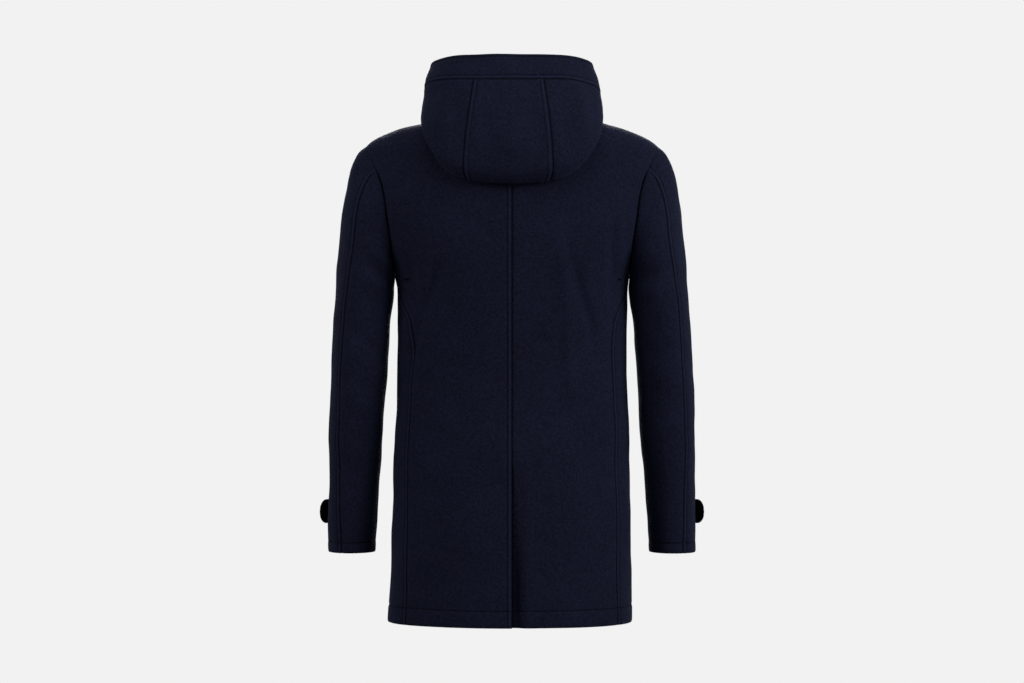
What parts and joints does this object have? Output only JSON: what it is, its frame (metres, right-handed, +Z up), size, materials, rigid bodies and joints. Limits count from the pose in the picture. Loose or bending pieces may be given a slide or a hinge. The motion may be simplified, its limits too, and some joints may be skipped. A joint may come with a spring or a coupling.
{
  "type": "duffle coat",
  "caption": "Navy wool duffle coat with a hood lying back, toggle front, cuff tabs and a back vent.",
  "frame": {"origin": "middle of the neck opening, level with the top of the shoulders", "axes": "+Z up to the top of the hood, +X to the wearer's left, -Y to the front, +Y to the back with the hood's bag and the vent"},
  "size_m": [0.6252, 0.2959, 0.9055],
  "materials": {
    "wool": "matte, short felted nap with a faint twill",
    "strap": "matte",
    "leather": "satin",
    "cord": "matte",
    "horn": "polished horn",
    "button": "satin"
  },
  "bodies": {
    "root": {"back_left": "wool", "back_right": "wool", "cuff_button_left": "button", "cuff_button_right": "button", "cuff_tab_left": "strap", "cuff_tab_right": "strap", "front_left": "wool", "front_right": "wool", "hood_band": "wool", "hood_centre": "wool", "hood_side_left": "wool", "hood_side_right": "wool", "loop_cord_1": "cord", "loop_cord_2": "cord", "loop_cord_3": "cord", "loop_patch_1": "leather", "loop_patch_2": "leather", "loop_patch_3": "leather", "sleeve_top_left": "wool", "sleeve_top_right": "wool", "sleeve_under_left": "wool", "sleeve_under_right": "wool", "toggle_1": "horn", "toggle_2": "horn", "toggle_3": "horn", "toggle_cord_1": "cord", "toggle_cord_2": "cord", "toggle_cord_3": "cord", "toggle_patch_1": "leather", "toggle_patch_2": "leather", "toggle_patch_3": "leather", "vent_underlap": "wool"}
  },
  "joints": []
}
